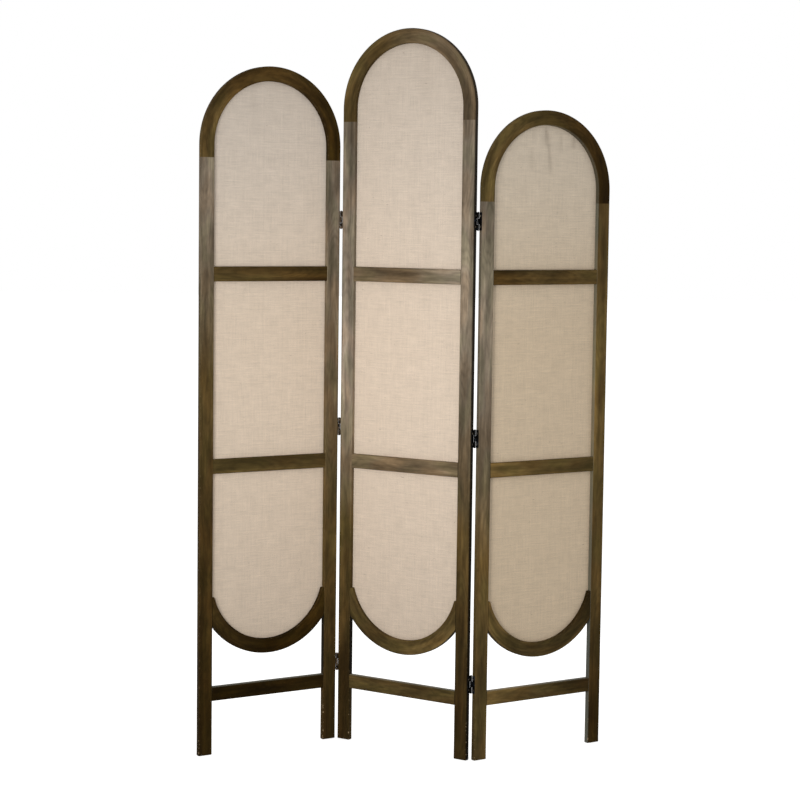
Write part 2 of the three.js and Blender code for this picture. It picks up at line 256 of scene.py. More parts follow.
class Finish(Tree):
    """A material: a tree with one Principled surface."""

    def __init__(self, name):
        self.material = bpy.data.materials.new(name)
        self.material.use_nodes = True
        super().__init__(self.material.node_tree)
        self.nodes.clear()

    def split(self, vector):
        parts = self.shade("SeparateXYZ", {0: vector})
        return parts, self.also(parts, 1), self.also(parts, 2)

    def own_map(self, name):
        """The piece's own UV map, as two values in metres."""
        along, around, _ = self.split(self.shade("UVMap", uv_map=name))
        return along, around

    def place(self):
        """Object coordinates, in metres."""
        return self.also(self.shade("TexCoord"), "Object")

    def painted(self, name):
        """A value that the piece's mesh carries."""
        return self.also(self.shade("Attribute", attribute_name=name), "Fac")

    def cloud(self, vector, scale=1.0, detail=2.0, roughness=0.5):
        """Soft noise from 0 to 1."""
        sockets = {"Vector": vector, "Scale": scale, "Detail": detail, "Roughness": roughness}
        return self.shade("TexNoise", sockets)

    def dice(self, x, y=0.0):
        """A value from 0 to 1 that jumps from one whole number to the next."""
        return self.shade("TexWhiteNoise", {"Vector": self.vector(x, y, 0.0)}, noise_dimensions="2D")

    def rise(self, value, low, high):
        """0 below low, 1 above high, and a smooth climb between them."""
        sockets = {0: value, 1: low, 2: high, 3: 0.0, 4: 1.0}
        return self.shade("MapRange", sockets, interpolation_type="SMOOTHSTEP")

    def ramp(self, value, stops):
        """A value turned into colours, from (position, colour) stops."""
        made = self.shade("ValToRGB", {0: value})
        elements = made.output.node.color_ramp.elements
        while len(elements) < len(stops):
            elements.new(1.0)
        for element, (position, colour) in zip(elements, stops):
            element.position = position
            element.color = colour
        return made

    def mix(self, factor, a, b, blend="MIX"):
        return self.shade("Mix", {0: factor, 6: a, 7: b}, 2, data_type="RGBA", blend_type=blend)

    def shaded(self, colour, value):
        """A colour made lighter or darker by a value."""
        grey = self.shade("CombineColor", {0: value, 1: value, 2: value})
        return self.mix(1.0, colour, grey, "MULTIPLY")

    def bump(self, height, depth, strength=1.0, under=None):
        sockets = {"Strength": strength, "Distance": depth, "Height": height}
        if under is not None:
            sockets["Normal"] = under
        return self.shade("Bump", sockets)

    def surface(self, **sockets):
        """Ends the material. Socket names are written with _ for a space."""
        named = {name.replace("_", " "): value for name, value in sockets.items()}
        self.shade("OutputMaterial", {"Surface": self.shade("BsdfPrincipled", named)})
        return self.material


# ---- finishes


@dataclass
class Sides:
    """How light a piece's two narrow sides are against its face, as painted shade and painted light.

    outer is the side towards the panel's outside or the floor. inner is the one towards the
    panel's middle or its top. Below 1 they paint shade on a side, above 1 they paint light. A
    pale painted sheen lies on the inner side, and painted shade darkens it below the bottom arc.
    """

    outer: float = 0.85
    inner: float = 0.95
    painted_sheen: float = 0.0
    shade_below_arc: float = 0.0


def stained_wood(name, stain_and_light, sides, seed, life):
    """Satin-stained wood. The grain runs along the piece, and so do the stops of its tones,
    which hold its staining together with painted sheen and painted shade.

    life says how uneven the staining is.
    """
    f = Finish(name)
    along, around = f.own_map("grain")
    height = f.split(f.place())[2]
    flank = f.painted("flank")

    def patchy(each_metre_along, each_metre_around, layer, detail=2.0, roughness=0.55):
        """Noise spread over 0 to 1, stretched along the grain."""
        place = f.vector(along * each_metre_along, around * each_metre_around, layer + seed * 5.17)
        return f.rise(f.cloud(place, detail=detail, roughness=roughness), 0.28, 0.72)

    # Growth rings round a pith that lies a little under the board and drifts along it
    pith_aside = (patchy(0.9, 0.0, 1.0) - 0.5) * PITH_DRIFT
    pith_depth = patchy(1.7, 0.0, 2.0) * PITH_DIP + PITH_DEPTH
    aside = around - BOARD_MIDDLE - pith_aside
    ring_radius = (aside * aside + pith_depth * pith_depth) ** 0.5
    ring_place = ring_radius / RING_SPACING + patchy(9, 60, 3.0) * 0.7
    late_wood = (f.sine(ring_place * math.tau) * 0.5 + 0.5) ** 2.0
    bands = patchy(2.4, 52, 4.0, detail=1.0)
    streaks = patchy(8, 380, 5.0, detail=3.0)
    fibres = f.cloud(f.vector(along * 30, around * 1700, 7.0 + seed), detail=2.0, roughness=0.65)
    pores = f.rise(fibres, 0.58, 0.74) * f.rise(streaks, 0.2, 0.8)
    clouds = patchy(3.4, 18, 11.0)
    mottle = patchy(11, 44, 19.0)
    specks = patchy(60, 190, 21.0)

    grain = (bands - 0.5) * 0.75 + (streaks - 0.5) * 0.32 - (late_wood - 0.3) * 0.26
    stain_taken = (clouds - 0.5) * 0.6 + (mottle - 0.5) * 0.5 + (specks - 0.5) * 0.2
    tone = 2.0 ** (grain + stain_taken * life)
    # Painted shade and painted light on the narrow sides, and painted shade on the inner side below the
    # bottom arc
    outer_side = f.larger(flank * -1, 0.0)
    inner_side = f.larger(flank, 0.0)
    painted_shade_band = (1 - f.rise(height, *UNDER_ARC_TOP)) * f.rise(height, *UNDER_ARC_FOOT)
    tone = tone * (1 - outer_side * (1 - sides.outer))
    tone = tone * (1 - inner_side * (1 - sides.inner)) * (1 - inner_side * painted_shade_band * sides.shade_below_arc)
    colour = f.shaded(f.ramp(f.painted("share"), stain_and_light), tone)
    patches = patchy(12, 34, 23.0, detail=0.0)
    colour = f.mix(f.rise(patches, 0.5, 1.0) * 0.22, colour, WARM_FILM, "MULTIPLY")
    colour = f.mix(f.rise(patches, 0.5, 0.0) * 0.3, colour, COOL_FILM, "MULTIPLY")
    colour = f.mix(pores * 0.4, colour, PORES)
    # A pale painted sheen on the inner side
    colour = f.mix(inner_side * sides.painted_sheen, colour, PAINTED_SHEEN_COLOUR)

    # Rubbed edges, and chips of bare wood near the feet
    chips = f.cloud(f.place(), scale=160.0, detail=3.0, roughness=0.6)
    eased = f.painted("rub")
    rubbed = eased * f.rise(chips, 0.50, 0.70) * 0.18
    colour = f.mix(rubbed, colour, RUBBED_WOOD)
    bare = eased * f.rise(chips, 0.60, 0.66) * (1 - f.rise(height, *CHIPPED_TOP))
    colour = f.mix(bare * 0.8, colour, BARE_WOOD)

    relief = streaks * 0.4 - pores * 0.9 - late_wood * 0.3
    handled = f.bump(clouds, 0.5 * MM, strength=0.25)
    normal = f.bump(relief, 0.12 * MM, strength=0.6, under=handled)
    roughness = 0.56 + pores * 0.2 + clouds * 0.08
    return f.surface(Base_Color=colour, Roughness=roughness, Specular_IOR_Level=0.03, Normal=normal)


def linen(name, low_thread, high_thread, gap):
    """Plain-woven linen with thick and thin yarns, slubs, a few dark flecks and painted shade in the
    grooves of its puckers.

    Its thread is a little yellower towards the foot of the panel than near the arch.
    """
    f = Finish(name)
    across, up = f.own_map("weave")

    def uneven(each_metre_across, each_metre_up, layer, detail=1.0, roughness=0.5):
        place = f.vector(across * each_metre_across, up * each_metre_up, layer)
        return f.cloud(place, detail=detail, roughness=roughness)

    # Yarns wander a little, so the weave isn't ruled
    sway = uneven(18, 18, 0.0)
    sway_up = uneven(18, 18, 9.0)
    warp_place = (across + (sway - 0.5) * WARP_SWAY) / THREAD_PITCH
    weft_place = (up + (sway_up - 0.5) * WEFT_SWAY) / THREAD_PITCH
    warp_number = f.floor(warp_place)
    weft_number = f.floor(weft_place)

    # Each yarn has its own shade and thickness, which drift along it
    warp_shade = f.dice(warp_number)
    weft_shade = f.dice(weft_number, 5.0)
    warp_slub = f.cloud(f.vector(warp_number * 0.37, up * 22, 1.0))
    weft_slub = f.cloud(f.vector(across * 22, weft_number * 0.37, 2.0))

    def body(place):
        return f.sine((place % 1.0) * math.pi)

    warp_over = f.cosine((weft_place - 0.5 - warp_number) * math.pi) * 0.5 + 0.5
    weft_over = 0.5 - f.cosine((warp_place - 0.5 - weft_number) * math.pi) * 0.5
    warp_height = body(warp_place) * (warp_over * 0.75 + 0.25) * (0.70 + warp_slub * 0.6)
    weft_height = body(weft_place) * (weft_over * 0.75 + 0.25) * (0.70 + weft_slub * 0.6)
    weave = f.larger(warp_height, weft_height)
    weft_on_top = weft_height > warp_height

    shade = warp_shade * 0.5 + warp_slub * 0.9
    shade = shade + weft_on_top * (weft_shade * 0.5 + weft_slub * 0.9 - shade)
    long_slubs = uneven(26, 300, 4.0, detail=3.0, roughness=0.6)
    warp_lines = uneven(280, 20, 6.0, detail=2.0, roughness=0.6)
    mottle = uneven(26, 34, 8.0, detail=3.0)
    tone = 0.80 + (shade - 0.7) * 0.18 + f.rise(weave, 0.05, 0.75) * 0.20
    tone = tone + (long_slubs - 0.5) * 0.30 + (warp_lines - 0.5) * 0.15 + (mottle - 0.5) * 0.14

    thread = f.mix(f.rise(up, *THREAD_CHANGE), low_thread, high_thread)
    colour = f.shaded(thread, tone)
    colour = f.mix((1 - f.rise(weave, 0.10, 0.45)) * 0.5, colour, gap)
    # Painted shade along the grooves of the cloth's puckers
    colour = f.mix(f.painted("crease") * 0.32, colour, GROOVE_SHADE_COLOUR)
    colour = f.mix(f.rise(uneven(70, 520, 12.0), 0.765, 0.81) * 0.75, colour, FLECK)
    colour = f.mix(f.rise(uneven(260, 90, 15.0), 0.79, 0.85) * 0.5, colour, HUSK)

    yarns = f.bump(weave, 0.35 * MM, strength=0.55)
    normal = f.bump(long_slubs + warp_lines * 0.6, 0.5 * MM, strength=0.35, under=yarns)
    return f.surface(Base_Color=colour, Roughness=0.92, Specular_IOR_Level=0.15, Normal=normal)


def bronzed_steel(name, base, spots, metallic=0.75, spotted=0.5):
    """Bronzed steel with spots. On the brown hinges they are where its finish is thin or thick; on the
    black ones they are partly painted highlights.
    """
    f = Finish(name)
    place = f.place()
    speckle = f.cloud(place, scale=900.0, detail=3.0, roughness=0.6)
    smear = f.cloud(place, scale=170.0, detail=2.0)
    spot = f.rise(smear * 0.75 + speckle * 0.25, 1.02 - spotted, 1.1 - spotted)
    normal = f.bump(speckle, 0.05 * MM, strength=0.5)
    return f.surface(
        Base_Color=f.mix(spot, base, spots),
        Roughness=0.42 + speckle * 0.18,
        Metallic=metallic,
        Specular_IOR_Level=0.15,
        Normal=normal,
    )


BOARD_MIDDLE = 20 * MM
PITH_DEPTH = 14 * MM
PITH_DIP = 34 * MM
PITH_DRIFT = 30 * MM
RING_SPACING = 3.6 * MM
THREAD_PITCH = 1.15 * MM
WARP_SWAY = 2.5 * MM
WEFT_SWAY = 3.5 * MM

# Heights over which a finish changes, in metres
UNDER_ARC_FOOT = (0.15, 0.19)
UNDER_ARC_TOP = (0.36, 0.39)
CHIPPED_TOP = (0.05, 0.14)
THREAD_CHANGE = (1.0, 1.6)

PORES = srgb(30, 22, 10)
FLECK = srgb(104, 80, 56)
HUSK = srgb(126, 100, 70)
# Colour of the painted shade in the cloth's grooves
GROOVE_SHADE_COLOUR = srgb(92, 78, 62)
# Grey colour of the painted sheen on the inner and top sides of the bars
PAINTED_SHEEN_COLOUR = srgb(128, 130, 120)
WARM_FILM = srgb(255, 226, 196)
COOL_FILM = srgb(236, 255, 232)
RUBBED_WOOD = srgb(146, 124, 94)
BARE_WOOD = srgb(190, 164, 128)

# Tones of the stain and of its painted sheen and shade, from the deepest to the palest
INK = srgb(32, 21, 3)
PEAT = srgb(50, 36, 12)
UMBER = srgb(66, 50, 24)
OLIVE = srgb(86, 70, 40)
MOSS = srgb(104, 84, 48)
DRIFT = srgb(110, 94, 72)
FLINT = srgb(122, 110, 94)
# The palest tone serves as a painted sheen on the middle panel's left stile
ASH_SHEEN = srgb(146, 132, 116)

# How each piece took the stain, with painted light in its tones. The feet are the darkest, partly
# from painted shade, and the stiles grow paler towards the arch, partly from a painted sheen. The
# middle panel is the palest, from a painted sheen on it. Tones go evenly from a piece's left or
# lower end to its other end.
STAINS_AND_PAINTED_LIGHT = {
    "left_stile_left": (PEAT, UMBER, OLIVE, FLINT),
    "left_stile_right": (UMBER, MOSS, DRIFT, FLINT),
    "left_arch_head": (OLIVE, UMBER, UMBER, PEAT),
    "left_upper_rail": (OLIVE, UMBER),
    "left_lower_rail": (OLIVE, OLIVE),
    "left_bottom_arc": (UMBER, INK, PEAT),
    "left_stretcher": (INK, PEAT),
    "centre_stile_left": (UMBER, OLIVE, ASH_SHEEN, FLINT),
    "centre_stile_right": (UMBER, OLIVE, FLINT, FLINT),
    "centre_arch_head": (OLIVE, OLIVE, DRIFT, DRIFT),
    "centre_upper_rail": (DRIFT, DRIFT, FLINT),
    "centre_lower_rail": (DRIFT, DRIFT),
    "centre_bottom_arc": (OLIVE, OLIVE),
    "centre_stretcher": (OLIVE, OLIVE),
    "right_stile_left": (OLIVE, MOSS, FLINT, FLINT),
    "right_stile_right": (PEAT, MOSS, MOSS, OLIVE),
    "right_arch_head": (OLIVE, OLIVE, UMBER, PEAT),
    "right_upper_rail": (UMBER, OLIVE, MOSS),
    "right_lower_rail": (MOSS, OLIVE),
    "right_bottom_arc": (MOSS, OLIVE, OLIVE, PEAT),
    "right_stretcher": (MOSS, OLIVE, UMBER),
}


def spread(tones):
    """The stops of a colour ramp: its tones at even steps, held a little at both ends."""
    return [(0.08 + 0.84 * i / (len(tones) - 1), tone) for i, tone in enumerate(tones)]


# Painted shade and painted light on each piece's narrow sides, and painted shade below the bottom arc
PLAIN_STILE = Sides(shade_below_arc=0.9)
PLAIN_BAR = Sides()
SIDES = {
    "centre_stile_right": Sides(outer=0.12, shade_below_arc=0.9),
    "right_stile_right": Sides(inner=1.1, painted_sheen=0.5, shade_below_arc=0.9),
    "left_arch_head": Sides(outer=1.15, inner=0.9),
    "centre_arch_head": Sides(outer=0.15, inner=0.9),
    "right_arch_head": Sides(inner=1.0, painted_sheen=0.25),
    "left_bottom_arc": Sides(outer=0.35, inner=0.9),
    "centre_bottom_arc": Sides(outer=0.35, inner=1.1),
    "right_bottom_arc": Sides(outer=0.35, inner=1.0),
    "left_stretcher": Sides(outer=0.5, inner=1.6, painted_sheen=0.5),
    "centre_stretcher": Sides(outer=0.5, inner=1.3, painted_sheen=0.4),
    "right_stretcher": Sides(outer=0.5, inner=1.3, painted_sheen=0.4),
}
UNEVEN = {"left_bottom_arc", "left_stretcher", "right_arch_head", "right_bottom_arc", "right_upper_rail",
          "left_arch_head", "centre_bottom_arc", "centre_stretcher", "right_stretcher"}
EVEN_LIFE = 1.3
UNEVEN_LIFE = 1.8


def wood_of(name, seed):
    sides = SIDES.get(name, PLAIN_STILE if "stile" in name else PLAIN_BAR)
    life = UNEVEN_LIFE if name in UNEVEN else EVEN_LIFE
    return stained_wood(f"{name}_wood", spread(STAINS_AND_PAINTED_LIGHT[name]), sides, seed, life)


woods = {name: wood_of(name, seed) for seed, name in enumerate(STAINS_AND_PAINTED_LIGHT)}
linens = {
    LEFT: linen("linen_left", srgb(227, 209, 188), srgb(226, 213, 198), srgb(140, 120, 98)),
    CENTRE: linen("linen_centre", srgb(224, 206, 186), srgb(225, 210, 193), srgb(140, 120, 98)),
    RIGHT: linen("linen_right", srgb(225, 204, 175), srgb(229, 214, 193), srgb(140, 118, 92)),
}
brown_bronze = bronzed_steel("brown_bronze", srgb(92, 76, 60), srgb(10, 5, 2), metallic=0.2, spotted=0.55)
# Near-black bronze for the right hinges, which sit at the rear of their gap: partly painted shade, with
# blue-grey spots that are partly painted highlights
black_bronze = bronzed_steel("black_bronze", srgb(4, 3, 3), srgb(48, 56, 66), metallic=0.5, spotted=0.45)
screw_steel = bronzed_steel("screw_steel", srgb(96, 88, 78), srgb(190, 178, 158))
staple_steel = bronzed_steel("staple_steel", srgb(150, 150, 148), srgb(200, 200, 198))


# ---- mesh helpers


def arc(x, y, radius, start, turn, facets):
    """Points on an arc round (x, y), from start through turn, both in degrees."""
    angles = [math.radians(start + turn * i / facets) for i in range(facets + 1)]
    return [(x + radius * math.cos(angle), y + radius * math.sin(angle)) for angle in angles]


def placed(name, data):
    """An object that holds data, put in the scene."""
    made = bpy.data.objects.new(name, data)
    bpy.context.scene.collection.objects.link(made)
    return made


def plain_mesh(shape, name):
    mesh = bpy.data.meshes.new(name)
    shape.to_mesh(mesh)
    shape.free()
    return mesh


def smoothed(mesh):
    """A mesh shaded smooth, with its square corners kept sharp."""
    mesh.shade_smooth()
    mesh.set_sharp_from_angle(angle=SHARP_ANGLE)
    return mesh


def mesh_from(shape, name):
    """A smoothed mesh of a bmesh, with its faces outwards."""
    bmesh.ops.recalc_face_normals(shape, faces=shape.faces)
    return smoothed(plain_mesh(shape, name))


def worked(mesh, kind, set_up):
    """The plain mesh that a modifier makes of a mesh. set_up fills in the modifier."""
    worker = placed("worker", mesh)
    set_up(worker.modifiers.new("work", kind))
    graph = bpy.context.evaluated_depsgraph_get()
    result = bpy.data.meshes.new_from_object(
        worker.evaluated_get(graph), preserve_all_data_layers=True, depsgraph=graph
    )
    bpy.data.objects.remove(worker)
    return result


def grown(mesh, tree, **sizes):
    """What a geometry tree makes of a mesh."""
    def set_up(modifier):
        modifier.node_group = tree
        for item in tree.interface.items_tree:
            if item.in_out == "INPUT" and item.name in sizes:
                modifier[item.identifier] = sizes[item.name]

    return worked(mesh, "NODES", set_up)


def filed(mesh, width):
    """A mesh with its sharp edges filed round."""
    def set_up(modifier):
        modifier.width = width
        modifier.segments = 2
        modifier.limit_method = "ANGLE"
        modifier.angle_limit = FILED_ANGLE

    return worked(mesh, "BEVEL", set_up)


def finish_piece(name, mesh, panel, slot, material, replaced=()):
    """Stands a mesh drawn in a panel's axes on that panel, and lets it ride there."""
    mesh.transform(panel.place)
    mesh.name = name
    mesh.materials.clear()
    mesh.materials.append(material)
    piece = placed(name, mesh)
    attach(piece, panel.body)
    if replaced:
        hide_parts(*replaced)
    return piece


# ---- wooden bars


def eased_corner(x, y, start, radius):
    """Points round one eased corner, with a held point on the flat at either side of it.

    A point is (x, y, rub, flank). rub is 1 at the middle of the easing. flank is 1 on the side
    that faces along x, -1 on the side that faces back, and 0 on the front and the rear.
    """
    def point(angle, past, rub):
        across, up = math.cos(angle), math.sin(angle)
        return (x + radius * across - past * up, y + radius * up + past * across, rub, across)

    first = math.radians(start)
    last = math.radians(start + 90)
    points = [point(first, -FLAT_HOLD, 0.0)]
    for i in range(CORNER_FACETS + 1):
        rub = math.sin(math.pi * i / CORNER_FACETS) * 0.5 + 0.5
        points.append(point(first + (last - first) * i / CORNER_FACETS, 0.0, rub))
    points.append(point(last, FLAT_HOLD, 0.0))
    return points


def rebate_corner(width):
    """The same count of points down the rebate's floor and up its wall."""
    wall = width - REBATE_WIDTH
    corner = [(width, REBATE_FLOOR, 0.3, 1.0)]
    corner += [(width - REBATE_WIDTH * share, REBATE_FLOOR, 0.0, 0.0) for share in (0.3, 0.6, 0.8, 1.0)]
    corner += [(wall, (REBATE_FLOOR + THICKNESS) / 2, 0.0, 0.0), (wall, THICKNESS, 0.3, 0.0)]
    return corner


def bar_outline(width, thickness, radius, rebated=False):
    """The outline of a bar across its grain, with y from front to rear."""
    right, rear = width - radius, thickness - radius
    third = rebate_corner(width) if rebated else eased_corner(right, rear, 0, radius)
    front = eased_corner(radius, radius, 180, radius) + eased_corner(right, radius, 270, radius)
    return front + third + eased_corner(radius, rear, 90, radius)


def drawn_in(outline, inset, width, thickness):
    """An outline made smaller by inset on every side."""
    across = 1 - 2 * inset / width
    deep = 1 - 2 * inset / thickness
    return [
        (width / 2 + (x - width / 2) * across, thickness / 2 + (y - thickness / 2) * deep, rub, flank)
        for x, y, rub, flank in outline
    ]


def sanded_radius(along, seed):
    """Hand sanding: the eased edge is fuller in some places than in others."""
    return EDGE_RADIUS * (1.15 + 0.15 * noise.noise(Vector((along * 14, seed * 3.7, 0))))


def stations_between(start, end, step):
    count = max(2, math.ceil((end - start) / step))
    return [start + (end - start) * i / count for i in range(count + 1)]


def lofted(rings):
    """A bar through rings of (z, outline).

    Its grain map runs along z and round the outline, rub and flank come from the outline, and
    share goes from 0 to 1 along the bar.
    """
    shape = bmesh.new()
    grain = shape.loops.layers.uv.new("grain")
    layers = [shape.verts.layers.float.new(title) for title in ("rub", "flank", "share")]
    length = rings[-1][0]
    girth = [0.0]
    nominal = rings[len(rings) // 2][1]
    for point, following in zip(nominal, nominal[1:] + nominal[:1]):
        girth.append(girth[-1] + math.dist(point[:2], following[:2]))
    rows = []
    for z, outline in rings:
        row = []
        for x, y, *values in outline:
            vertex = shape.verts.new((x, y, z))
            for layer, value in zip(layers, (*values, z / length)):
                vertex[layer] = value
            row.append(vertex)
        rows.append(row)
    for low, high, (low_z, _), (high_z, _) in zip(rows, rows[1:], rings, rings[1:]):
        for i in range(len(low)):
            k = (i + 1) % len(low)
            face = shape.faces.new((low[i], low[k], high[k], high[i]))
            corners = ((low_z, i), (low_z, i + 1), (high_z, i + 1), (high_z, i))
            for loop, (z, step) in zip(face.loops, corners):
                loop[grain].uv = (z, girth[step])
    for row in (rows[0], rows[-1]):
        face = shape.faces.new(row)
        for loop in face.loops:
            x, y, z = loop.vert.co
            loop[grain].uv = (z + y, x)
    return shape


def rings_at(stations, seed, width=BAND, thickness=THICKNESS, rebated=False):
    """A bar's outline at each of its stations along the grain."""
    return [(z, bar_outline(width, thickness, sanded_radius(z, seed), rebated)) for z in stations]


def stile_bar(length, seed):
    """A stile: rounded foot, square top, and the rebate cut from above the bottom arc's tip."""
    rebate_start = BOTTOM_ARC_TIP_Z - REBATE_WIDTH - CLOTH_LAP
    full = bar_outline(BAND, THICKNESS, EDGE_RADIUS)
    rings = []
    for i in range(FOOT_FACETS + 1):
        angle = math.radians(90 * i / FOOT_FACETS)
        inset = FOOT_EASING * (1 - math.sin(angle))
        rings.append((FOOT_EASING * (1 - math.cos(angle)), drawn_in(full, inset, BAND, THICKNESS)))
    rings += rings_at(stations_between(FOOT_EASING + BAR_STATION / 2, rebate_start, BAR_STATION), seed)
    rebated = stations_between(rebate_start + REBATE_END_SLOPE, length, BAR_STATION)
    return lofted(rings + rings_at(rebated, seed, rebated=True))


def bending_tree():
    """Bends a straight strip round a half circle with a straight leg at either end.

    The strip comes with x in from its outer edge, y from front to rear and z along it.
    """
    group, t, given = new_group("bend_to_half_circle", ("Radius", "Leg", "Centre height", "Way up"))
    radius = given("Radius")
    leg = given("Leg")
    inwards = t.shade("SeparateXYZ", {0: t.grow("InputPosition")})
    along = t.also(inwards, 2)
    bent = t.between((along - leg) / radius, 0.0, math.pi)
    below = t.larger(leg - along, 0.0) + t.larger(along - leg - radius * math.pi, 0.0)
    out = radius - inwards
    x = radius - t.cosine(bent) * out
    z = given("Centre height") + given("Way up") * (t.sine(bent) * out - below)
    place = t.vector(x, t.also(inwards, 1), z)
    t.hand_over(t.grow("SetPosition", {"Geometry": given("Base"), "Position": place}), given("Finish"))
    return group


def cut_off(shape, point, outwards):
    """Saws a shape along a plane and closes the cut. The side that outwards points to goes."""
    whole = shape.verts[:] + shape.edges[:] + shape.faces[:]
    cut = bmesh.ops.bisect_plane(
        shape, geom=whole, dist=SAME_PLACE, plane_co=point, plane_no=outwards, clear_outer=True
    )
    rim = [item for item in cut["geom_cut"] if isinstance(item, bmesh.types.BMEdge)]
    bmesh.ops.edgeloop_fill(shape, edges=rim)


bend = bending_tree()


def bent_band(wood, seed, leg, centre_height, way_up):
    """A straight strip bent into a half circle, open downwards for 1 and upwards for -1."""
    length = math.pi * ARC_RADIUS + 2 * leg
    strip = lofted(rings_at(stations_between(0, length, ARC_STATION), seed, rebated=True))
    sizes = {"Radius": ARC_RADIUS, "Leg": leg, "Centre height": centre_height, "Way up": way_up}
    shape = bmesh.new()
    shape.from_mesh(grown(mesh_from(strip, "strip"), bend, Finish=wood, **sizes))
    return shape


def arch_head(panel, seed, wood):
    return mesh_from(bent_band(wood, seed, ARCH_LEG, panel.height - ARC_RADIUS, 1.0), "arch")


def bottom_arc(seed, wood):
    """The U-shaped band, sawn to fit between the stiles and level at its tips."""
    shape = bent_band(wood, seed, 0.0, BOTTOM_ARC_Z, -1.0)
    cut_off(shape, (BAND, 0, 0), (-1, 0, 0))
    cut_off(shape, (PANEL_WIDTH - BAND, 0, 0), (1, 0, 0))
    cut_off(shape, (0, 0, BOTTOM_ARC_TIP_Z), (0, 0, 1))
    return mesh_from(shape, "arc")


def stile(panel, side, seed):
    shape = stile_bar(panel.height - ARC_RADIUS - ARCH_LEG, seed)
    if side == "right":
        for vertex in shape.verts:
            vertex.co.x = PANEL_WIDTH - vertex.co.x
    return mesh_from(shape, "stile")


def crossbar(low, height, thickness, seed):
    """A bar between the stiles, its grain running across the panel."""
    stations = stations_between(0, PANEL_WIDTH - 2 * BAND, BAR_STATION)
    shape = lofted(rings_at(stations, seed, height, thickness))
    for vertex in shape.verts:
        up, depth, along = vertex.co
        vertex.co = (BAND + along, depth, low + up)
    return mesh_from(shape, "crossbar")


def make_frame(panel, seed):
    """The seven wooden pieces of a panel, each with its own wood."""
    pieces = (
        ("stile_left", stile(panel, "left", seed), "frame_wood"),
        ("stile_right", stile(panel, "right", seed + 1), "frame_wood"),
        ("arch_head", arch_head(panel, seed + 2, woods[f"{panel.name}_arch_head"]), "arch_wood"),
        ("upper_rail", crossbar(UPPER_RAIL_Z, RAIL_HEIGHT, REBATE_FLOOR, seed + 3), "frame_wood"),
        ("lower_rail", crossbar(LOWER_RAIL_Z, RAIL_HEIGHT, REBATE_FLOOR, seed + 4), "frame_wood"),
        ("bottom_arc", bottom_arc(seed + 5, woods[f"{panel.name}_bottom_arc"]), "low_wood"),
        ("stretcher", crossbar(STRETCHER_Z, STRETCHER_HEIGHT, THICKNESS, seed + 6), "low_wood"),
    )
    for part, mesh, slot in pieces:
        name = f"{panel.name}_{part}"
        finish_piece(name, mesh, panel, slot, woods[name], [f"{panel.body}_{part}"])


# ---- cloth

CLOTH_COLUMNS = 88
CLOTH_STEP = 7 * MM
CAP_STEPS = 26
CAP_TURN = 89
STAPLE_SPACING = 38 * MM
STAPLE_WIRE = 0.6 * MM
RAIL_HOLD = 22 * MM
RIM_START = 2 * MM
RIM_HOLD = 14 * MM
SLACK = 0.9 * MM
STAPLE_PULL = 0.22 * MM
PULL_REACH = 12 * MM


@dataclass
class Pucker:
    """A soft groove in the cloth, in millimetres: where it starts, how long, wide and deep.

    It runs down, and lean is how far its foot lies to the right of its head.
    """

    across: float
    top: float
    length: float
    width: float
    depth: float
    lean: float = 0.0

    def at(self, x, z):
        share = (self.top - z) / self.length
        if not 0 <= share <= 1:
            return 0.0
        fade = math.sin(math.pi * min(1.0, share * 0.8 + 0.2)) ** 0.7
        wide = self.width * (0.8 + 0.5 * share)
        return self.depth * fade * math.exp(-(((x - self.across - self.lean * share) / wide) ** 2))


PUCKERS = {
    RIGHT: [
        Pucker(196, 1564, 52, 8, 1.3, lean=5),
        Pucker(205, 1522, 80, 6, 1.0, lean=8),
        Pucker(284, 1549, 40, 6, 1.3, lean=-3),
        Pucker(243, 1550, 50, 6, 0.6),
        Pucker(152, 1512, 60, 7, 0.5, lean=6),
        Pucker(158, 1560, 36, 6, 0.5),
    ],
    LEFT: [Pucker(150, 1655, 110, 12, 0.3)],
    CENTRE: [Pucker(240, 1750, 140, 14, 0.3)],
}
# Groove depth at which the painted shade in the groove is full
FULL_SHADE_GROOVE_DEPTH = 1.5 * MM


def cloth_rows(panel):
    """Heights of the cloth's rows with its half width at each: a half circle at both ends."""
    top_centre = panel.height - ARC_RADIUS
    cap = arc(0, 0, CLOTH_HALF_WIDTH, 0, CAP_TURN, CAP_STEPS)[1:]
    foot = [(BOTTOM_ARC_Z - rise, half) for half, rise in reversed(cap)]
    straight = [(z, CLOTH_HALF_WIDTH) for z in stations_between(BOTTOM_ARC_Z, top_centre, CLOTH_STEP)]
    return foot + straight + [(top_centre + rise, half) for half, rise in cap]


def edge_distance(panel, x, z):
    """How far a point of the cloth lies inside the edge of the opening that shows it."""
    from_middle = abs(x - ARC_RADIUS)
    past = max(0.0, z - (panel.height - ARC_RADIUS), BOTTOM_ARC_Z - z)
    return (ARC_RADIUS - BAND) - math.hypot(from_middle, past)


def near_rail(z):
    """1 behind a rail, easing to 0 a little above and below it."""
    nearest = min(abs(z - low - RAIL_HEIGHT / 2) for low in (UPPER_RAIL_Z, LOWER_RAIL_Z))
    return 1 - min(1.0, max(0.0, (nearest - RAIL_HEIGHT / 2) / RAIL_HOLD))


def groove(panel, x, z):
    return sum(pucker.at(x / MM, z / MM) for pucker in PUCKERS[panel]) * MM


def cloth_depth(panel, x, z):
    """How far the cloth gives towards the rear at a point, held flat by rails and rebate."""
    inside = edge_distance(panel, x, z)
    free = min(1.0, max(0.0, (inside + RIM_START) / RIM_HOLD))
    free = free * (1 - near_rail(z))
    slack = noise.noise(Vector((x * 9, z * 5, panel.height * 7))) * SLACK
    edge_pull = math.exp(-max(0.0, inside) / PULL_REACH) * STAPLE_PULL
    pull = math.cos(math.tau * z / STAPLE_SPACING) * edge_pull
    return free * (slack + groove(panel, x, z)) + pull * (1 - near_rail(z)) * free ** 0.3


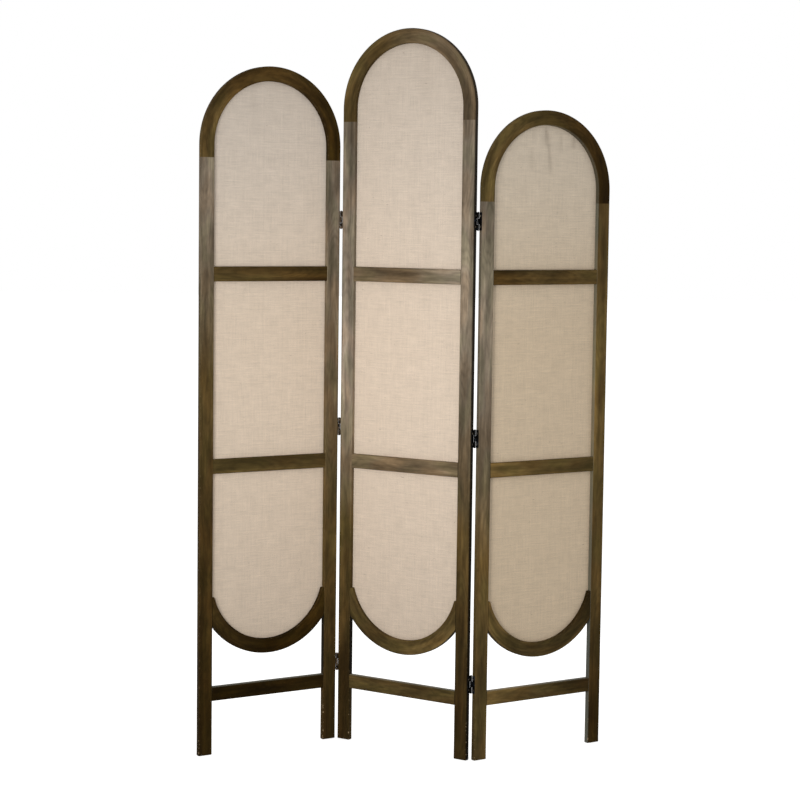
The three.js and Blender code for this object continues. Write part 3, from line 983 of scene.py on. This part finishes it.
def make_cloth(panel):
    shape = bmesh.new()
    weave = shape.loops.layers.uv.new("weave")
    crease = shape.verts.layers.float.new("crease")
    rows = []
    for z, half in cloth_rows(panel):
        row = []
        for i in range(CLOTH_COLUMNS + 1):
            x = ARC_RADIUS + half * (2 * i / CLOTH_COLUMNS - 1)
            vertex = shape.verts.new((x, CLOTH_FRONT + cloth_depth(panel, x, z), z))
            # How much painted shade the grooves lay on the cloth here
            vertex[crease] = min(1.0, groove(panel, x, z) / FULL_SHADE_GROOVE_DEPTH)
            row.append(vertex)
        rows.append(row)
    for low, high in zip(rows, rows[1:]):
        for i in range(CLOTH_COLUMNS):
            shape.faces.new((low[i], low[i + 1], high[i + 1], high[i]))
    shift = panel.height * 3.1
    for face in shape.faces:
        for loop in face.loops:
            loop[weave].uv = (loop.vert.co.x + shift, loop.vert.co.z)
    rear = bmesh.ops.duplicate(shape, geom=shape.verts[:] + shape.edges[:] + shape.faces[:])
    front_rim = [edge for edge in shape.edges if edge.is_boundary]
    for item in rear["geom"]:
        if isinstance(item, bmesh.types.BMVert):
            item.co.y += CLOTH_THICKNESS
            # The rear side of the cloth gets no painted groove shade
            item[crease] = 0.0
    bmesh.ops.bridge_loops(shape, edges=front_rim)
    name = panel.name
    mesh = mesh_from(shape, "cloth")
    cloth = finish_piece(f"{name}_cloth", mesh, panel, "linen", linens[panel], [f"{panel.body}_fabric"])


for index, panel in enumerate(PANELS):
    make_frame(panel, 1 + 8 * index)
    make_cloth(panel)

# ---- hinges

HALF_HINGE = HINGE_HEIGHT / 2
FILED_EDGE = 0.12 * MM
ROLL_TURN = 298
ROLL_FACETS = 30
HOLE_FACETS = 24
LEAF_FACETS = 5
PIN_FACETS = 28
DOME_FACETS = 5
DOME_TURN = 80


def knuckle_span(number):
    """The low and the high end of a knuckle, counted from below."""
    low = number * (KNUCKLE_HEIGHT + KNUCKLE_GAP) - HALF_HINGE
    return low, low + KNUCKLE_HEIGHT


def leaf_outline(own_knuckles):
    """The leaf's outline as (y, z). It reaches the pin at its own knuckles only."""
    outline = []
    for side, start in ((-1, 270), (1, 0)):
        middle = side * (HALF_HINGE - LEAF_CORNER)
        outline += arc(LEAF_END - LEAF_CORNER, middle, LEAF_CORNER, start, 90, LEAF_FACETS)
    for number in (2, 1, 0):
        low, high = knuckle_span(number)
        if number in own_knuckles:
            outline += [(0.0, high), (0.0, low)]
        else:
            notch = KNUCKLE_RADIUS + KNUCKLE_GAP
            top = min(high + KNUCKLE_GAP, HALF_HINGE)
            outline += [(notch, top), (notch, max(low - KNUCKLE_GAP, -HALF_HINGE))]
    return outline


def ring_of(shape, points):
    """Vertices through points, and the edges that join them into a closed ring."""
    ring = [shape.verts.new(point) for point in points]
    return ring, [shape.edges.new(pair) for pair in zip(ring, ring[1:] + ring[:1])]


def walls_between(shape, near, far, left_open=()):
    """Faces between two rings, but for the ones whose place in the ring is left open."""
    count = len(near)
    for i in range(count):
        if i not in left_open:
            k = (i + 1) % count
            shape.faces.new((near[i], near[k], far[k], far[i]))


def hole_ring(shape, x, radius, z):
    rim = arc(SCREW_ROW, z, radius, 0, 360, HOLE_FACETS)[:-1]
    return ring_of(shape, [(x, *point) for point in rim])


def roll_knuckle(shape, low, high):
    """The leaf's metal rolled round the pin, from its flat to just short of its own face."""
    section = ((LEAF_FACE, low), (KNUCKLE_RADIUS, low), (KNUCKLE_RADIUS, high), (LEAF_FACE, high))
    columns = []
    for x, y in arc(0, 0, 1, 0, -ROLL_TURN, ROLL_FACETS):
        columns.append([shape.verts.new((radius * x, radius * y, z)) for radius, z in section])
    for near, far in zip(columns, columns[1:]):
        walls_between(shape, near, far)
    shape.faces.new(columns[-1])


def hinge_leaf(own_knuckles):
    """A leaf in the hinge's own axes: the pin on Z, the flat on the +X side, running along +Y."""
    shape = bmesh.new()
    outline = leaf_outline(own_knuckles)
    face, face_edges = ring_of(shape, [(LEAF_FACE, y, z) for y, z in outline])
    back, back_edges = ring_of(shape, [(KNUCKLE_RADIUS, y, z) for y, z in outline])
    at_pin = [i for i, (start, end) in enumerate(zip(outline, outline[1:] + outline[:1]))
              if start[0] == 0.0 and end[0] == 0.0]
    for z in (-SCREW_SPACING / 2, SCREW_SPACING / 2):
        mouth, mouth_edges = hole_ring(shape, LEAF_FACE, SINK_RADIUS, z)
        throat, _ = hole_ring(shape, LEAF_FACE + SINK_DEPTH, SCREW_HOLE_RADIUS, z)
        end, end_edges = hole_ring(shape, KNUCKLE_RADIUS, SCREW_HOLE_RADIUS, z)
        face_edges += mouth_edges
        back_edges += end_edges
        walls_between(shape, mouth, throat)
        walls_between(shape, throat, end)
    bmesh.ops.triangle_fill(shape, edges=face_edges, use_beauty=True)
    bmesh.ops.triangle_fill(shape, edges=back_edges, use_beauty=True)
    walls_between(shape, face, back, left_open=at_pin)
    for number in own_knuckles:
        roll_knuckle(shape, *knuckle_span(number))
    bmesh.ops.remove_doubles(shape, verts=shape.verts, dist=SAME_PLACE)
    return filed(mesh_from(shape, "leaf"), FILED_EDGE)


def turned(profile):
    """A closed solid turned on Z from (radius, z) points that start and end on the axis."""
    shape = bmesh.new()
    foot = shape.verts.new((0, 0, profile[0][1]))
    crown = shape.verts.new((0, 0, profile[-1][1]))
    rings = []
    for radius, z in profile[1:-1]:
        round_axis = arc(0, 0, radius, 0, 360, PIN_FACETS)[:-1]
        rings.append([shape.verts.new((*point, z)) for point in round_axis])
    for near, far in zip(rings, rings[1:]):
        walls_between(shape, near, far)
    for i in range(PIN_FACETS):
        k = (i + 1) % PIN_FACETS
        shape.faces.new((foot, rings[0][k], rings[0][i]))
        shape.faces.new((crown, rings[-1][i], rings[-1][k]))
    return shape


def hinge_pin():
    """A loose pin with a domed head at either end."""
    neck = HALF_HINGE + LEAF_SEAT
    wide, tall = PIN_HEAD_RADIUS, PIN_HEAD_HEIGHT
    head = [(PIN_RADIUS, neck), (wide * 0.94, neck), (wide, neck + tall * 0.12)]
    dome = arc(0, 0, 1, 0, DOME_TURN, DOME_FACETS)
    head += [(wide * across, neck + tall * (0.35 + 0.65 * up)) for across, up in dome]
    head.append((0.0, neck + tall))
    foot = [(radius, -z) for radius, z in reversed(head)]
    return mesh_from(turned(foot + head), "pin")


class Joint:
    """The hinges between the centre panel and a side panel: their pin line and turn on each."""

    def __init__(self, side, pins, turns, metal):
        self.name = f"{side.name}_hinge"
        self.heights = HINGE_HEIGHTS[side.name]
        self.seats = {"leaf_centre": (CENTRE, pins[0], turns[0]), "leaf_side": (side, pins[1], turns[1])}
        self.metal = metal

    def seat(self, leaf, height):
        """The panel that a leaf is screwed to, and its place in that panel's axes."""
        panel, pin, turn = self.seats[leaf]
        return panel, Matrix.Translation(pin + Vector((0, 0, height))) @ turn


JOINTS = (
    Joint(LEFT, (FRONT_LEFT_PIN, FRONT_RIGHT_PIN),
          (Matrix.Identity(4), Matrix.Rotation(math.pi, 4, "Y")), brown_bronze),
    Joint(RIGHT, (REAR_RIGHT_PIN, REAR_LEFT_PIN),
          (Matrix.Rotation(math.pi, 4, "Z"), Matrix.Rotation(math.pi, 4, "X")), black_bronze),
)
LEAF_KNUCKLES = {"leaf_centre": (0, 2), "leaf_side": (1,)}


def make_hinges(joint):
    for level, height in joint.heights.items():
        made = [(leaf, leaf, "rolled", hinge_leaf(own)) for leaf, own in LEAF_KNUCKLES.items()]
        made.append(("pin", "leaf_centre", "turned", hinge_pin()))
        for part, leaf, way, mesh in made:
            node = f"{joint.name}_{level}_{part}"
            panel, seat = joint.seat(leaf, height)
            mesh.transform(seat)
            finish_piece(f"{node}_{way}", mesh, panel, "hinge_metal", joint.metal, [node])


# ---- screws and staples

LINE_FACETS = 24
SCREW_SIZES = {
    "Head radius": SINK_RADIUS - 0.1 * MM,
    "Head depth": SINK_DEPTH,
    "Shank radius": SCREW_HOLE_RADIUS - 0.15 * MM,
    "Shank length": 9 * MM,
    "Slot width": 0.6 * MM,
    "Slot depth": 0.45 * MM,
}
STAPLE_SIZES = {
    "Spacing": STAPLE_SPACING,
    "Crown": 10 * MM,
    "Leg": 1.8 * MM,
    "Wire width": 1.0 * MM,
    "Wire thickness": STAPLE_WIRE,
    "Askew": 0.12,
}


def set_on(t, given, points, instance, facing, low, high, axis):
    """Ends a tree: an instance on each point, turned at random about one of its own axes."""
    drawn = t.also(t.node("FunctionNodeRandomValue", {2: low, 3: high, "Seed": given("Seed")}), 1)
    about = t.vector(*(drawn if letter == axis else 0.0 for letter in "XYZ"))
    own_turn = t.node("FunctionNodeEulerToRotation", {0: about})
    turn = t.node("FunctionNodeRotateRotation", {"Rotation": facing, "Rotate By": own_turn},
                  rotation_space="LOCAL")
    made = t.grow("InstanceOnPoints", {"Points": points, "Instance": instance, "Rotation": turn})
    t.hand_over(made, given("Finish"))


def screw_tree():
    """Puts a slotted woodscrew on every point, with its head towards the point's outwards."""
    group, t, given = new_group("woodscrews", SCREW_SIZES, seeded=True)
    depth = given("Head depth")
    thin = given("Shank radius")
    wide = given("Head radius")
    length = given("Shank length")
    cone = t.grow("MeshCone", {"Vertices": 28, "Radius Top": wide, "Radius Bottom": thin, "Depth": depth})
    head = t.grow("Transform", {"Geometry": cone, "Translation": t.vector(0.0, 0.0, depth * -1)})
    slot_size = t.vector(wide * 3, given("Slot width"), given("Slot depth") * 2)
    slot = t.grow("MeshCube", {"Size": slot_size})
    cut = t.grow("MeshBoolean", {0: head, 1: slot}, operation="DIFFERENCE", solver="EXACT")
    rod = t.grow("MeshCylinder", {"Vertices": 20, "Radius": thin, "Depth": length})
    drop = t.vector(0.0, 0.0, depth * -0.9 - length * 0.5)
    shank = t.grow("Transform", {"Geometry": rod, "Translation": drop})
    screw = t.grow("JoinGeometry")
    for part in (cut, shank):
        t.links.new(part.output, screw.output.node.inputs[0])
    outwards = t.grow("InputNamedAttribute", {"Name": "outwards"}, data_type="FLOAT_VECTOR")
    facing = t.node("FunctionNodeAlignRotationToVector", {"Vector": outwards}, axis="Z")
    set_on(t, given, given("Base"), screw, facing, 0.0, math.pi, "Z")
    return group


def staple_tree():
    """Sets staples at even steps along a closed line that lies in a panel's plane."""
    group, t, given = new_group("staples", STAPLE_SIZES, seeded=True)
    thin = given("Wire thickness")
    index = t.grow("InputIndex")
    side = (index > 1.5) * 2 - 1
    at_end = t.maths("ABSOLUTE", index - 1.5) > 1.0
    four_points = t.grow("MeshLine", {"Count": 4})
    corners = t.vector(side * given("Crown") * 0.5, at_end * given("Leg") * -1, 0.0)
    bent = t.grow("SetPosition", {"Geometry": four_points, "Position": corners})
    path = t.grow("FilletCurve", {"Curve": t.grow("MeshToCurve", {0: bent}), "Radius": thin})
    wire = t.grow("CurvePrimitiveQuadrilateral", {"Width": thin, "Height": given("Wire width")})
    staple = t.grow("CurveToMesh", {"Curve": path, "Profile Curve": wire, "Fill Caps": True})
    line = t.grow("MeshToCurve", {0: given("Base")})
    line = t.grow("ResampleCurve", {"Curve": line, "Length": given("Spacing")}, mode="LENGTH")
    points = t.grow("CurveToPoints", {0: line}, mode="EVALUATED")
    along = t.node("FunctionNodeAlignRotationToVector", {"Vector": t.also(points, "Tangent")}, axis="X")
    upright = t.node("FunctionNodeAlignRotationToVector", {"Rotation": along, "Vector": (0.0, 1.0, 0.0)},
                     axis="Y", pivot_axis="X")
    set_on(t, given, points, staple, upright, given("Askew") * -1, given("Askew"), "Y")
    return group


def screw_seats(panel):
    """Where the screws of a panel's leaves sit, and which way their heads face."""
    places = []
    headings = []
    for joint in JOINTS:
        for height in joint.heights.values():
            for leaf in LEAF_KNUCKLES:
                holder, seat = joint.seat(leaf, height)
                if holder is panel:
                    for z in (-SCREW_SPACING / 2, SCREW_SPACING / 2):
                        places.append(seat @ Vector((LEAF_FACE + SCREW_SUNK, SCREW_ROW, z)))
                        headings.append(seat.to_3x3() @ Vector((-1, 0, 0)))
    return places, headings


def make_screws(panel, tree, seed):
    places, headings = screw_seats(panel)
    seats = bpy.data.meshes.new("seats")
    seats.from_pydata([tuple(place) for place in places], [], [])
    outwards = seats.attributes.new("outwards", "FLOAT_VECTOR", "POINT")
    for item, heading in zip(outwards.data, headings):
        item.vector = heading
    mesh = smoothed(grown(seats, tree, Finish=screw_steel, Seed=seed, **SCREW_SIZES))
    finish_piece(f"{panel.name}_hinge_screws", mesh, panel, "hinge_metal", screw_steel)


def make_staples(panel, tree, seed):
    line = bmesh.new()
    radius = CLOTH_HALF_WIDTH - CLOTH_LAP / 2
    top = panel.height - ARC_RADIUS
    depth = CLOTH_FRONT + CLOTH_THICKNESS + STAPLE_WIRE / 2
    points = []
    for centre, start in ((top, 0), (BOTTOM_ARC_Z, 180)):
        points += [(x, depth, z) for x, z in arc(ARC_RADIUS, centre, radius, start, 180, LINE_FACETS)]
    ring_of(line, points)
    mesh = smoothed(grown(plain_mesh(line, "line"), tree, Finish=staple_steel, Seed=seed, **STAPLE_SIZES))
    finish_piece(f"{panel.name}_cloth_staples", mesh, panel, "hinge_metal", staple_steel)


for joint in JOINTS:
    make_hinges(joint)
woodscrews = screw_tree()
staples = staple_tree()
for seed, panel in enumerate(PANELS):
    make_screws(panel, woodscrews, seed)
    make_staples(panel, staples, seed)


# ---- studio

PHOTO_WIDTH = 800
FOCAL_PIXELS = 2124.7
SENSOR = 36.0
CAMERA_PLACE = Vector((-3.55 * MM, -5272.6 * MM, 1341.0 * MM))
CAMERA_YAW = -0.00186
CAMERA_PITCH = -0.08646
CAMERA_ROLL = 0.01249
WHITE = (1, 1, 1, 1)
FLOOR_PAINT = (0.8, 0.8, 0.8, 1)
FLOOR_GLOW = 0.72
FLOOR_HALF_SIZE = 30


def add_camera():
    data = bpy.data.cameras.new("camera")
    data.sensor_fit = "HORIZONTAL"
    data.sensor_width = SENSOR
    data.lens = FOCAL_PIXELS / PHOTO_WIDTH * SENSOR
    camera = placed("camera", data)
    ahead = Vector((
        math.sin(CAMERA_YAW) * math.cos(CAMERA_PITCH),
        math.cos(CAMERA_YAW) * math.cos(CAMERA_PITCH),
        math.sin(CAMERA_PITCH),
    ))
    level = ahead.to_track_quat("-Z", "Y").to_matrix().to_4x4()
    roll = Matrix.Rotation(CAMERA_ROLL, 4, "Z")
    camera.matrix_world = Matrix.Translation(CAMERA_PLACE) @ level @ roll
    bpy.context.scene.camera = camera


def add_lamp(name, place, target, width, height, power, beam):
    data = bpy.data.lights.new(name, "AREA")
    data.shape = "RECTANGLE"
    data.size = width
    data.size_y = height
    data.energy = power
    data.spread = math.radians(beam)
    aim = (Vector(target) - Vector(place)).to_track_quat("-Z", "Y").to_matrix().to_4x4()
    placed(name, data).matrix_world = Matrix.Translation(place) @ aim


def seen_directly(tree):
    """1 for what the camera sees straight, in gloss or through glass."""
    path = tree.shade("LightPath")
    seen = tree.larger(path, tree.also(path, "Is Glossy Ray"))
    return tree.larger(seen, tree.also(path, "Is Transmission Ray"))


def add_world(strength):
    world = bpy.data.worlds.new("studio")
    world.use_nodes = True
    bpy.context.scene.world = world
    t = Tree(world.node_tree)
    t.nodes.clear()
    light = t.shade("Background", {"Color": WHITE, "Strength": strength})
    white = t.shade("Background", {"Color": WHITE, "Strength": 1.0})
    t.shade("OutputWorld", {"Surface": t.shade("MixShader", {0: seen_directly(t), 1: light, 2: white})})


def add_floor():
    """A white sweep of floor that keeps the screen's shadow."""
    f = Finish("studio_floor")
    paint = f.shade("BsdfDiffuse", {"Color": FLOOR_PAINT})
    glow = f.shade("Emission", {"Color": WHITE, "Strength": seen_directly(f) * FLOOR_GLOW})
    f.shade("OutputMaterial", {"Surface": f.shade("AddShader", {0: paint, 1: glow})})
    shape = bmesh.new()
    bmesh.ops.create_grid(shape, x_segments=1, y_segments=1, size=FLOOR_HALF_SIZE)
    mesh = plain_mesh(shape, "floor")
    mesh.materials.append(f.material)
    placed("floor", mesh)


add_camera()
add_lamp("front_softbox", (-0.9, -2.2, 1.0), (-0.1, 0, 0.98), width=0.8, height=0.6, power=4.4, beam=66)
add_lamp("rear_softbox", (0.4, 2.6, 1.2), (0, 0, 0.95), width=1.2, height=1.6, power=8, beam=120)
add_world(strength=0.58)
add_floor()
bpy.context.scene.view_settings.view_transform = "Standard"
